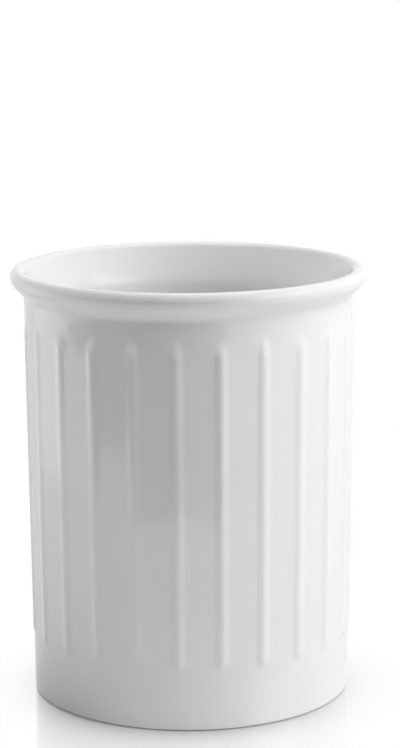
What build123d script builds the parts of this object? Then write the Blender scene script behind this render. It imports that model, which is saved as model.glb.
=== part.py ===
from build123d import *

import os
from math import cos, radians, sin, tan

# Utensil crock: one formed and fired vessel, all of a piece, glazed inside and out.
# A round body that tapers slightly to its foot carries low upright ribs with rounded ends. Its
# wall turns out at the top into a rolled lip over a small cove, and it stands on a ring foot
# around a shallow recess.
# Millimetres. The origin is the centre of the ring that it stands on, +Z is up and -Y is the front.
# Every angle is in degrees, and a wall's or a bevel's angle is counted from upright.

# Body
height = 183.0
body_top_radius = 69.7          # outside, at the corner where the lip grows out of the wall
body_taper = 1.8                # how much smaller the outside is at the foot
wall = 5.5
floor_thickness = 5.5

# Rolled lip
lip_overhang = 5.6              # how far the lip stands out past the wall under it
lip_cove_round = 4.5            # hollow between the wall and the underside
lip_underside_angle = 45.0
lip_roll_round = 5.5            # from the underside to the outer edge
lip_edge_round = 2.6            # from the outer edge to the shoulder
lip_shoulder_angle = 45.0
lip_crown_round = 2.8           # from the shoulder to the top
lip_mouth_round = 2.8           # from the top down into the mouth
lip_land = 0.2                  # straight stretch left between two rounds of the lip

# Inside
inner_flare_angle = 45.0        # slope that follows the lip outwards at the mouth
inner_floor_bevel = 7.0         # between wall and floor

# Ribs
rib_count = 24
rib_width = 5.6
rib_height = 0.5                # how far a rib stands out from the wall
rib_foot_gap = 27.0             # plain band below the ribs
rib_lip_gap = 21.5              # from the ribs' upper ends to the top of the lip

# Ring foot
foot_bevel = 1.5                # outer edge
foot_ring_width = 6.0           # flat ring that it stands on
foot_recess_depth = 2.0
foot_recess_angle = 45.0


def corner_run(round_radius, turn):
    # Length that a rounded corner takes from each of its two sides.
    return round_radius * tan(radians(turn) / 2)


def round_corners(sketch, corners):
    # Each corner is the place of a sharp point of the outline and the radius that it gets.
    for x, z, round_radius in corners:
        fillet(sketch.vertices().sort_by_distance((x, z))[0], round_radius)


# Lip, from the top down: shoulder, outer edge, roll, underside and cove
lip_radius = body_top_radius + lip_overhang
shoulder_length = (
    corner_run(lip_crown_round, 90 - lip_shoulder_angle) + lip_land
    + corner_run(lip_edge_round, lip_shoulder_angle)
)
crown_corner_radius = lip_radius - shoulder_length * sin(radians(lip_shoulder_angle))
edge_corner_z = height - shoulder_length * cos(radians(lip_shoulder_angle))
roll_corner_z = (
    edge_corner_z - corner_run(lip_edge_round, lip_shoulder_angle) - lip_land
    - corner_run(lip_roll_round, lip_underside_angle)
)
cove_corner_z = roll_corner_z - lip_overhang / tan(radians(lip_underside_angle))

# Inside, from the mouth down: flare, wall and floor
mouth_radius = (
    crown_corner_radius - corner_run(lip_crown_round, 90 - lip_shoulder_angle) - lip_land
    - corner_run(lip_mouth_round, 90 - inner_flare_angle)
)
inner_top_radius = body_top_radius - wall
flare_corner_z = height - (mouth_radius - inner_top_radius) / tan(radians(inner_flare_angle))
inner_foot_radius = inner_top_radius - body_taper
floor_z = foot_recess_depth + floor_thickness

# Foot, from the outside in: bevel, ring and recess
foot_radius = body_top_radius - body_taper
ring_inner_radius = foot_radius - foot_bevel - foot_ring_width
recess_radius = ring_inner_radius - foot_recess_depth * tan(radians(foot_recess_angle))

# A rib is the outermost slice of a round rod that leans with the wall
rib_rod_radius = (rib_width**2 / 4 + rib_height**2) / (2 * rib_height)
rib_low_z = rib_foot_gap + rib_width / 2
rib_high_z = height - rib_lip_gap - rib_width / 2
wall_lean = body_taper / (cove_corner_z - foot_bevel)


def rod_place(z):
    # Point of the front rib's rod axis at a height: sunk by all but the rib's own height.
    outside_radius = foot_radius + wall_lean * (z - foot_bevel)
    return Vector(0, rib_rod_radius - rib_height - outside_radius, z)


with BuildPart() as rib:
    low_end = rod_place(rib_low_z)
    high_end = rod_place(rib_high_z)
    rod_length = (high_end - low_end).length
    along = (high_end - low_end).normalized()
    outward = Vector(1, 0, 0).cross(along)
    with BuildSketch(Plane(origin=low_end, x_dir=(1, 0, 0), z_dir=outward)):
        with BuildLine():
            CenterArc((0, 0), rib_rod_radius, -90, 90)
            Line((rib_rod_radius, 0), (rib_rod_radius, rod_length))
            CenterArc((0, rod_length), rib_rod_radius, 0, 90)
            Line((0, rod_length + rib_rod_radius), (0, -rib_rod_radius))
        make_face()
    revolve(axis=Axis(low_end, along))
    # The slice is rooted halfway into the wall
    root = low_end + outward * (rib_rod_radius - rib_height - wall / 2)
    split(bisect_by=Plane(origin=root, z_dir=outward), keep=Keep.TOP)

with BuildPart() as crock:
    with BuildSketch(Plane.XZ) as section:
        with BuildLine():
            Polyline(
                (0, foot_recess_depth),
                (recess_radius, foot_recess_depth),
                (ring_inner_radius, 0),
                (foot_radius - foot_bevel, 0),
                (foot_radius, foot_bevel),
                (body_top_radius, cove_corner_z),
                (lip_radius, roll_corner_z),
                (lip_radius, edge_corner_z),
                (crown_corner_radius, height),
                (mouth_radius, height),
                (inner_top_radius, flare_corner_z),
                (inner_foot_radius, floor_z + inner_floor_bevel),
                (inner_foot_radius - inner_floor_bevel, floor_z),
                (0, floor_z),
                close=True,
            )
        make_face()
        round_corners(section, [
            (body_top_radius, cove_corner_z, lip_cove_round),
            (lip_radius, roll_corner_z, lip_roll_round),
            (lip_radius, edge_corner_z, lip_edge_round),
            (crown_corner_radius, height, lip_crown_round),
            (mouth_radius, height, lip_mouth_round),
        ])
    revolve(axis=Axis.Z)

    # Ribs all round, the first one at the front
    with PolarLocations(0, rib_count):
        add(rib.part)

crock.part.label = "crock"
os.makedirs("parts", exist_ok=True)
export_step(crock.part, "parts/crock.step")
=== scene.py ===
import math

import bpy
import numpy as np
from mathutils import Euler, Matrix, Vector


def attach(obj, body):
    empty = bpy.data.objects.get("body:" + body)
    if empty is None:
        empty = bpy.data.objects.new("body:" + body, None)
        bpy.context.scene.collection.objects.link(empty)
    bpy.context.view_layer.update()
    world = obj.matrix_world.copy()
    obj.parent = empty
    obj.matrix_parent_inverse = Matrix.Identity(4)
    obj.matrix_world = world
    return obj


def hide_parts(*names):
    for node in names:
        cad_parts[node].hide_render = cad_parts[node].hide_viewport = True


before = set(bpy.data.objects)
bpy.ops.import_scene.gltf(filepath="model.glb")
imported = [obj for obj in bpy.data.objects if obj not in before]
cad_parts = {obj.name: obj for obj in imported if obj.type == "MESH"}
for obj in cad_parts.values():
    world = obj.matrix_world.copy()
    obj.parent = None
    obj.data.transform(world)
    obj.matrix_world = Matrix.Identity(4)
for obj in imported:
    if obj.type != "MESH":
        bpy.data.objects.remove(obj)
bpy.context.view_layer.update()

print("frame loaded:", ", ".join(sorted(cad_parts)))

mm = 0.001
scene = bpy.context.scene
scene.view_settings.view_transform = "Standard"

# Sizes in millimetres. Each corner is radius from the axis, height and the round it gets.
crockShape = {
    "node": "crock",
    "ribCount": 24,
    # height and half width of the narrow crest and of the wide soft root that it stands on
    "ribForm": [(0.40, 3.4), (0.34, 6.6)],
    # where the rib starts to die out and how far it takes, below and above
    "ribEnds": [(28.8, 4.5), (155.3, 9.0)],
    "ribColumns": [0.0, 0.45, 0.9, 1.35, 1.8, 2.3, 2.8, 3.5, 4.3, 5.4],   # degrees from a crest
    "arcStep": 9.0,              # degrees from one row to the next on a round
    "recess": [(0.0, 2.0, 0.0), (58.4, 2.0, 1.6), (60.4, 0.0, 0.7)],
    "foot": [(67.9, 0.0, 1.2)],
    "lip": [(69.7, 171.8, 4.3), (75.28, 177.38, 6.0), (75.28, 183.0, 3.0)],
    "mouth": [(70.15, 183.0, 3.0), (64.2, 166.7, 20.0)],
    "inside": [(62.4, 7.5, 9.0), (0.0, 7.5, 0.0)],
    # heights of the rows on the outer wall, close together at the ribs' ends
    "wallRows": [4, 8, 13, 18, 22, 24, 25, 26, 27, 28, 29, 30, 32, 36, 42, 50, 62, 74, 86, 98,
                 110, 122, 134, 144, 150, 153, 155, 156, 157, 158, 159, 160, 161, 162, 163, 164,
                 165, 167],
    "insideRows": [158, 140, 120, 100, 80, 60, 40, 25],
}


def roundedProfile(corners, runRows):
    # A line through the corners with each corner rounded: the arc is tangent to both sides, its
    # centre lies on the bisector at radius / sin(half the angle), and its points are the turned
    # mix (start sin((1-k)w) + end sin(kw)) / sin(w). A run gets the rows listed for it by height,
    # and its place among the points comes back with the profile.
    corners = np.array(corners, float)
    place, rounds = corners[:, :2], corners[:, 2]
    pieces, runs = [place[:1]], []
    for i in range(1, len(place)):
        last = pieces[-1][-1]
        if i == len(place) - 1:
            arc = place[i:i + 1]
        else:
            back, ahead = place[i - 1] - place[i], place[i + 1] - place[i]
            back, ahead = back / np.linalg.norm(back), ahead / np.linalg.norm(ahead)
            half = math.acos(np.clip(back @ ahead, -1, 1)) / 2
            bisector = (back + ahead) / np.linalg.norm(back + ahead)
            centre = place[i] + bisector * rounds[i] / math.sin(half)
            reach = rounds[i] / math.tan(half)
            start, end = place[i] + back * reach - centre, place[i] + ahead * reach - centre
            turn = math.pi - 2 * half
            points = max(3, math.ceil(math.degrees(turn) / crockShape["arcStep"]) + 1)
            k = np.linspace(0, 1, points)[:, None]
            mix = start * np.sin((1 - k) * turn) + end * np.sin(k * turn)
            arc = centre + mix / math.sin(turn)
        rows = np.array(runRows.get(i, []), float)
        if len(rows):
            share = ((rows - last[1]) / (arc[0][1] - last[1]))[:, None]
            pieces.append(last + share * (arc[0] - last))
            first = sum(len(piece) for piece in pieces[:-1])
            runs.append(slice(first, first + len(rows)))
        pieces.append(arc)
    return np.concatenate(pieces), runs


def ribRelief(azimuth, radius, height, shape):
    # The distance from a crest line between the two ends, d, in shares of the half width across
    # and of the end's own length past it, gives the relief height * (1 + cos(pi d)) / 2, added up
    # over the crest and the root.
    pitch = 2 * math.pi / shape["ribCount"]
    across = (azimuth - np.round(azimuth / pitch) * pitch) * radius
    (low, lowLength), (high, highLength) = shape["ribEnds"]
    past = np.maximum(0, np.maximum((low - height) / lowLength, (height - high) / highLength))
    relief = 0
    for ribHeight, halfWidth in shape["ribForm"]:
        share = np.minimum(np.hypot(across / halfWidth, past), 1)
        relief = relief + ribHeight * (1 + np.cos(math.pi * share)) / 2
    return relief


def meshFromGrid(name, grid):
    # Columns go round, rows go along the profile. The first and last rows shrink to one point
    # each, so the surface is closed.
    columns, rows = grid.shape[:2]
    body = grid[:, 1:-1].reshape(-1, 3)
    points = np.concatenate([body, grid[:1, 0], grid[:1, -1]])
    inner = rows - 2
    index = np.arange(columns * inner).reshape(columns, inner)
    following = np.roll(index, -1, axis=0)
    corners = [index[:, :-1], following[:, :-1], following[:, 1:], index[:, 1:]]
    quads = np.stack(corners, -1).reshape(-1, 4)
    first, last = len(body), len(body) + 1
    startFan = np.stack([np.full(columns, first), following[:, 0], index[:, 0]], -1)
    endFan = np.stack([np.full(columns, last), index[:, -1], following[:, -1]], -1)
    mesh = bpy.data.meshes.new(name)
    mesh.from_pydata(points.tolist(), [], quads.tolist() + startFan.tolist() + endFan.tolist())
    mesh.validate()
    mesh.shade_smooth()
    return mesh


def makeCrock(shape):
    # The profile turned round the axis, with the ribs' relief added on the outer wall.
    corners = shape["recess"] + shape["foot"] + shape["lip"] + shape["mouth"] + shape["inside"]
    wallRun = len(shape["recess"]) + len(shape["foot"])
    insideRun = wallRun + len(shape["lip"]) + len(shape["mouth"])
    rows = {wallRun: shape["wallRows"], insideRun: shape["insideRows"]}
    profile, runs = roundedProfile(corners, rows)
    side = np.array(shape["ribColumns"])
    offsets = np.radians(np.concatenate([-side[:0:-1], side, [180.0 / shape["ribCount"]]]))
    crests = np.arange(shape["ribCount"]) * 2 * math.pi / shape["ribCount"]
    azimuth = (crests[:, None] + offsets).reshape(-1)[:, None]
    radius = np.repeat(profile[None, :, 0], len(azimuth), 0)
    height = np.repeat(profile[None, :, 1], len(azimuth), 0)
    isWall = np.zeros(len(profile))
    isWall[runs[0]] = 1
    radius = radius + ribRelief(azimuth, radius, height, shape) * isWall
    grid = np.stack([radius * np.cos(azimuth), radius * np.sin(azimuth), height], -1) * mm
    crock = bpy.data.objects.new("crockVessel", meshFromGrid("crockVessel", grid))
    scene.collection.objects.link(crock)
    return crock


crock = makeCrock(crockShape)
print("crock made:", len(crock.data.polygons), "faces")


def linear(hexColour):
    # sRGB hex to linear, (c / 12.92) below 0.04045 and ((c + 0.055) / 1.055) ^ 2.4 above
    values = [int(hexColour[i:i + 2], 16) / 255 for i in (1, 3, 5)]
    return [v / 12.92 if v <= 0.04045 else ((v + 0.055) / 1.055) ** 2.4 for v in values] + [1.0]


def addNode(tree, kind, settings=None, links=None):
    # A node with its properties, its socket values and its incoming links.
    node = tree.nodes.new(kind)
    for key, value in (settings or {}).items():
        if isinstance(key, str) and hasattr(node, key):
            setattr(node, key, value)
        else:
            node.inputs[key].default_value = value
    for key, source in (links or {}).items():
        tree.links.new(source, node.inputs[key])
    return node


def newMaterial(name):
    material = bpy.data.materials.new(name)
    material.use_nodes = True
    material.node_tree.nodes.clear()
    return material, material.node_tree


# Glossy white tin-opacified glaze over a slip-cast stoneware body, dipped and then fired: a hard
# wet gloss, a very slight ripple, a trace less white where the glaze has run thick, and a bare
# matt ring where it was wiped off to stand in the kiln.
glazeFinish = {
    "white": "#F4F4F4",
    "pooled": "#F0F0F0",
    "bareClay": "#E9E5DD",
    "gloss": (0.07, 0.13),       # roughness, smoothest and dullest patches
    "clayRoughness": 0.7,
    "ior": 1.6,
    # each pattern's size in mm and its finer layers
    "patterns": {
        "patch": (38.0, 2.0),        # from one dull patch to the next
        "ripple": (9.0, 1.0),        # the slow unevenness of a dipped glaze
        "orangePeel": (2.2, 1.0),    # as coarse as it needs to show
        "grit": (0.7, 4.0),          # bare clay
        "wiping": (4.0, 2.0),        # the uneven edge of the wiped ring
    },
    "relief": {"ripple": 0.035, "orangePeel": 0.006, "grit": 0.03},   # mm, how far each one rises
    "patchRange": (0.3, 0.7),    # what the patch noise gives where the glaze is smoothest, dullest
    "bareBelow": 0.2,            # mm above the ground where the wiped ring ends
    "bareWander": 0.3,           # mm, how far that edge goes up and down
}


def makeGlaze(finish):
    material, tree = newMaterial("glazedStoneware")
    place = addNode(tree, "ShaderNodeTexCoord").outputs["Object"]
    split = addNode(tree, "ShaderNodeSeparateXYZ", links={0: place})
    noise = {}
    for name, (size, detail) in finish["patterns"].items():
        made = addNode(tree, "ShaderNodeTexNoise", {"Scale": 1 / (size * mm), "Detail": detail},
                       {"Vector": place})
        noise[name] = made.outputs[0]

    # 1 on the bare ring, whose edge lies at bareBelow and half of bareWander up or down
    wander = finish["bareWander"] * mm
    lowest = finish["bareBelow"] * mm - wander / 2
    edge = addNode(tree, "ShaderNodeMath", {"operation": "MULTIPLY_ADD", 1: wander, 2: lowest},
                   {0: noise["wiping"]})
    bare = addNode(tree, "ShaderNodeMath", {"operation": "LESS_THAN"},
                   {0: split.outputs["Z"], 1: edge.outputs[0]}).outputs[0]

    glazeColour = addNode(tree, "ShaderNodeMix",
                          {"data_type": "RGBA", 6: linear(finish["white"]),
                           7: linear(finish["pooled"])},
                          {0: noise["patch"]})
    colour = addNode(tree, "ShaderNodeMix", {"data_type": "RGBA", 7: linear(finish["bareClay"])},
                     {0: bare, 6: glazeColour.outputs[2]})
    gloss = addNode(tree, "ShaderNodeMapRange",
                    {"From Min": finish["patchRange"][0], "From Max": finish["patchRange"][1],
                     "To Min": finish["gloss"][0], "To Max": finish["gloss"][1]},
                    {"Value": noise["patch"]})
    roughness = addNode(tree, "ShaderNodeMix",
                        {"data_type": "FLOAT", 3: finish["clayRoughness"]},
                        {0: bare, 2: gloss.outputs[0]})

    relief = finish["relief"]
    slow = addNode(tree, "ShaderNodeBump", {"Distance": relief["ripple"] * mm, "Strength": 1.0},
                   {"Height": noise["ripple"]})
    fine = addNode(tree, "ShaderNodeBump", {"Distance": relief["orangePeel"] * mm, "Strength": 1.0},
                   {"Height": noise["orangePeel"], "Normal": slow.outputs[0]})
    rough = addNode(tree, "ShaderNodeBump", {"Distance": relief["grit"] * mm},
                    {"Height": noise["grit"], "Normal": fine.outputs[0], "Strength": bare})
    skin = addNode(tree, "ShaderNodeBsdfPrincipled", {"IOR": finish["ior"]},
                   {"Base Color": colour.outputs[2], "Roughness": roughness.outputs[0],
                    "Normal": rough.outputs[0]})
    addNode(tree, "ShaderNodeOutputMaterial", links={"Surface": skin.outputs[0]})
    return material


crock.data.materials.append(makeGlaze(glazeFinish))
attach(crock, "root")
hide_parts(crockShape["node"])
print("glaze made")

# The photograph's view: degrees and metres, the lens and the sensor in millimetres. The camera
# stands in front, then turns round the crock by the azimuth.
cameraPlace = {
    "azimuth": 4.05,
    "distance": 1.0227,
    "sideways": 0.0047,
    "height": 0.3391,
    "pitch": 11.225,
    "roll": -0.388,
    "lens": 117.4,
    "sensor": 36.0,
    "clip": (0.05, 20.0),
}


def makeCamera(place):
    camera = bpy.data.objects.new("camera", bpy.data.cameras.new("camera"))
    camera.data.sensor_width = place["sensor"]
    camera.data.lens = place["lens"]
    camera.data.clip_start, camera.data.clip_end = place["clip"]
    turn = Matrix.Rotation(math.radians(place["azimuth"]), 4, "Z")
    tilt = Euler((math.radians(90 - place["pitch"]), 0, 0)).to_matrix().to_4x4()
    roll = Matrix.Rotation(math.radians(place["roll"]), 4, "Z")
    stand = Matrix.Translation((place["sideways"], -place["distance"], place["height"]))
    camera.matrix_world = turn @ stand @ tilt @ roll
    scene.collection.objects.link(camera)
    scene.camera = camera


makeCamera(cameraPlace)
print("camera set")

# White seamless sweep: white to the camera and in the gloss, with a painted contact shadow and a
# soft mirror image that both die out away from the foot. Lengths in millimetres.
floorLook = {
    "size": 3000.0,
    "albedo": "#EEEEEE",
    "footRadius": 68.0,
    # painted shade: the floor's own colour is darker round this centre, so it throws up less light
    "shadeCentre": (-84.0, -32.0),   # to the left, the floor throws up less light
    "shadeReach": (20.0, 81.0),
    "shadeDepth": 0.89,
    "contactShadowTone": "#C8C8C8",
    "contactCentre": (3.0, -8.0),    # the painted contact shadow is drawn round this centre, so it reaches further to the front, as light from behind would cast it
    "contactShare": 0.33,
    "contactReach": 8.0,
    "glossShare": 0.9,               # the gloss shows more of the lamps' own light on the floor
    "glossReach": 28.0,
    "haloShadowShare": 0.2,                # painted shadow: a soft dark rim on the floor round the foot
    "haloShadowReach": 5.0,
    "farFrom": (-60.0, 60.0),        # painted shade in the reflection: from here to there the sweep falls off a little, in the gloss only
    "farAcross": (-250.0, 250.0),
    "farLoss": (0.17, 0.07),         # at the left and at the right
    "mirrorShare": 0.62,
    "mirrorReach": 45.0,
    "mirrorRoughness": 0.03,
}


def seenDirectly(tree):
    # 1 for the rays that look at the backdrop: from the camera, in gloss and through glass
    path = addNode(tree, "ShaderNodeLightPath")
    first = addNode(tree, "ShaderNodeMath", {"operation": "MAXIMUM"},
                    {0: path.outputs["Is Camera Ray"], 1: path.outputs["Is Glossy Ray"]})
    return addNode(tree, "ShaderNodeMath", {"operation": "MAXIMUM"},
                   {0: first.outputs[0], 1: path.outputs["Is Transmission Ray"]}).outputs[0]


def makeFloor(look):
    half = look["size"] * mm / 2
    mesh = bpy.data.meshes.new("floor")
    corners = [(-half, -half, 0), (half, -half, 0), (half, half, 0), (-half, half, 0)]
    mesh.from_pydata(corners, [], [(0, 1, 2, 3)])
    floor = bpy.data.objects.new("floor", mesh)
    scene.collection.objects.link(floor)
    material, tree = newMaterial("whiteSweep")
    place = addNode(tree, "ShaderNodeTexCoord").outputs["Object"]
    split = addNode(tree, "ShaderNodeSeparateXYZ", links={0: place})
    path = addNode(tree, "ShaderNodeLightPath")

    def distance(centre):
        point = (centre[0] * mm, centre[1] * mm, 0)
        away = addNode(tree, "ShaderNodeVectorMath", {"operation": "DISTANCE", 1: point},
                       {0: place})
        return away.outputs["Value"]

    def fade(share, reach, centre=(0.0, 0.0)):
        # share * exp(-distance past the foot / reach), the foot's circle drawn round the centre
        past = addNode(tree, "ShaderNodeMath",
                       {"operation": "SUBTRACT", 1: look["footRadius"] * mm},
                       {0: distance(centre)})
        scaled = addNode(tree, "ShaderNodeMath", {"operation": "DIVIDE", 1: -reach * mm},
                         {0: past.outputs[0]})
        power = addNode(tree, "ShaderNodeMath", {"operation": "EXPONENT"}, {0: scaled.outputs[0]})
        return addNode(tree, "ShaderNodeMath",
                       {"operation": "MULTIPLY", 1: share, "use_clamp": True},
                       {0: power.outputs[0]}).outputs[0]

    # the floor as the light falls on it, its colour darkened to the left of the foot as painted
    # shade
    shade = addNode(tree, "ShaderNodeMapRange",
                    {"interpolation_type": "SMOOTHSTEP",
                     "From Min": look["shadeReach"][0] * mm, "From Max": look["shadeReach"][1] * mm,
                     "To Min": 1 - look["shadeDepth"], "To Max": 1.0},
                    {"Value": distance(look["shadeCentre"])})
    tone = addNode(tree, "ShaderNodeVectorMath",
                   {"operation": "SCALE", 0: linear(look["albedo"])[:3]},
                   {"Scale": shade.outputs[0]})
    plain = addNode(tree, "ShaderNodeBsdfDiffuse", links={"Color": tone.outputs[0]})

    # the white that is seen, 1 - painted halo shadow - (in the gloss) loss across * falling towards
    # the back
    falling = addNode(tree, "ShaderNodeMapRange",
                      {"From Min": look["farFrom"][0] * mm, "From Max": look["farFrom"][1] * mm,
                       "To Min": 0.0, "To Max": 1.0},
                      {"Value": split.outputs["Y"]})
    loss = addNode(tree, "ShaderNodeMapRange",
                   {"From Min": look["farAcross"][0] * mm, "From Max": look["farAcross"][1] * mm,
                    "To Min": look["farLoss"][0], "To Max": look["farLoss"][1]},
                   {"Value": split.outputs["X"]})
    fallOff = addNode(tree, "ShaderNodeMath", {"operation": "MULTIPLY"},
                      {0: falling.outputs[0], 1: loss.outputs[0]})
    dim = addNode(tree, "ShaderNodeMath", {"operation": "MULTIPLY_ADD"},
                  {0: path.outputs["Is Glossy Ray"], 1: fallOff.outputs[0],
                   2: fade(look["haloShadowShare"], look["haloShadowReach"])})
    level = addNode(tree, "ShaderNodeMath", {"operation": "SUBTRACT", 0: 1.0}, {1: dim.outputs[0]})
    white = addNode(tree, "ShaderNodeEmission", links={"Strength": level.outputs[0]})

    # near the foot, one after the other: the lit floor in the gloss, the painted contact shadow,
    # the mirror
    mirror = addNode(tree, "ShaderNodeBsdfGlossy",
                     {"Color": linear("#FFFFFF"), "Roughness": look["mirrorRoughness"]})
    # painted shadow: a darker floor colour mixed in near the foot
    contact = addNode(tree, "ShaderNodeBsdfDiffuse", {"Color": linear(look["contactShadowTone"])})
    inGloss = addNode(tree, "ShaderNodeMath", {"operation": "MULTIPLY"},
                      {0: path.outputs["Is Glossy Ray"],
                       1: fade(look["glossShare"], look["glossReach"])})
    glossed = addNode(tree, "ShaderNodeMixShader",
                      links={0: inGloss.outputs[0], 1: white.outputs[0], 2: plain.outputs[0]})
    shadow = fade(look["contactShare"], look["contactReach"], look["contactCentre"])
    shaded = addNode(tree, "ShaderNodeMixShader",
                     links={0: shadow, 1: glossed.outputs[0], 2: contact.outputs[0]})
    seen = addNode(tree, "ShaderNodeMixShader",
                   links={0: fade(look["mirrorShare"], look["mirrorReach"]),
                          1: shaded.outputs[0], 2: mirror.outputs[0]})
    both = addNode(tree, "ShaderNodeMixShader",
                   links={0: seenDirectly(tree), 1: plain.outputs[0], 2: seen.outputs[0]})
    addNode(tree, "ShaderNodeOutputMaterial", links={"Surface": both.outputs[0]})
    floor.data.materials.append(material)


makeFloor(floorLook)
print("floor laid")

# Azimuths in degrees from the front, positive to the right; elevations above the floor; lengths
# in metres; power in watts.
studio = {
    "aim": (0.0, 0.0, 0.09),
    "distance": 1.4,
    # azimuth, elevation, width, height, power, and whether the gloss shows the lamp
    "lamps": {
        "right": (82.0, 42.0, 1.4, 1.2, 17.2, False),
        "rightLow": (66.0, 11.0, 1.0, 0.8, 3.2, True),
        "left": (-91.0, 28.0, 1.0, 1.0, 9.3, False),
        "back": (155.0, 55.0, 1.2, 1.0, 1.7, True),
        "top": (0.0, 90.0, 1.2, 1.2, 2.85, True),
    },
    # Painted reflections that only the gloss sees, outside the camera's view: a dark sheet for the
    # dark room past the edge of the white sweep, in front and to the left, and a glowing sheet,
    # brighter than white, for the sweep close to the lamp at the left. Corners in metres to the
    # right and towards the camera, as it stands.
    "paintedReflections": {
        "paintedDarkReflection": {"strength": 0.008, "corners": [
            (0.17, 0.38), (0.0, 0.37), (-0.14, 0.345), (-0.40, 0.33), (-0.58, 0.22),
            (-0.84, 0.12), (-0.90, 0.02), (-1.6, 0.02), (-1.6, 1.6), (0.75, 1.6)]},
        "paintedBrightReflection": {"strength": 1.38, "corners": [
            (-0.46, 0.0), (-1.5, -0.08), (-1.15, -1.0), (-0.37, -0.25)]},
    },
}


def makeWorld():
    # White behind everything that is looked at, and no light from it on the crock.
    world = bpy.data.worlds.new("studio")
    scene.world = world
    world.use_nodes = True
    tree = world.node_tree
    tree.nodes.clear()
    background = addNode(tree, "ShaderNodeBackground", {"Color": (1, 1, 1, 1)},
                         {"Strength": seenDirectly(tree)})
    addNode(tree, "ShaderNodeOutputWorld", links={"Surface": background.outputs[0]})
    world.cycles.sampling_method = "NONE"


def makeLamp(name, azimuth, elevation, width, height, power, inGloss):
    turn, lift = math.radians(azimuth), math.radians(elevation)
    back = Vector((math.sin(turn) * math.cos(lift), -math.cos(turn) * math.cos(lift),
                   math.sin(lift)))
    light = bpy.data.lights.new(name, "AREA")
    light.shape = "RECTANGLE"
    light.size, light.size_y = width, height
    light.energy = power
    holder = bpy.data.objects.new(name, light)
    holder.location = Vector(studio["aim"]) + back * studio["distance"]
    holder.rotation_euler = (-back).to_track_quat("-Z", "Y").to_euler()
    holder.visible_glossy = inGloss
    scene.collection.objects.link(holder)


def makeGlossOnly(name, patch, azimuth):
    # A flat glow a millimetre above the floor that only the gloss sees, a painted reflection.
    turn = math.radians(azimuth)
    right = Vector((math.cos(turn), math.sin(turn), 0))
    front = Vector((math.sin(turn), -math.cos(turn), 0))
    corners = [right * x + front * y + Vector((0, 0, mm)) for x, y in patch["corners"]]
    mesh = bpy.data.meshes.new(name)
    mesh.from_pydata(corners, [], [range(len(corners))])
    sheet = bpy.data.objects.new(name, mesh)
    scene.collection.objects.link(sheet)
    material, tree = newMaterial(name)
    glow = addNode(tree, "ShaderNodeEmission", {"Strength": patch["strength"]})
    addNode(tree, "ShaderNodeOutputMaterial", links={"Surface": glow.outputs[0]})
    mesh.materials.append(material)
    sheet.visible_camera = sheet.visible_diffuse = sheet.visible_shadow = False


makeWorld()
for name, lamp in studio["lamps"].items():
    makeLamp(name, *lamp)
for name, patch in studio["paintedReflections"].items():
    makeGlossOnly(name, patch, cameraPlace["azimuth"])
print("studio lit:", len(studio["lamps"]), "lamps")
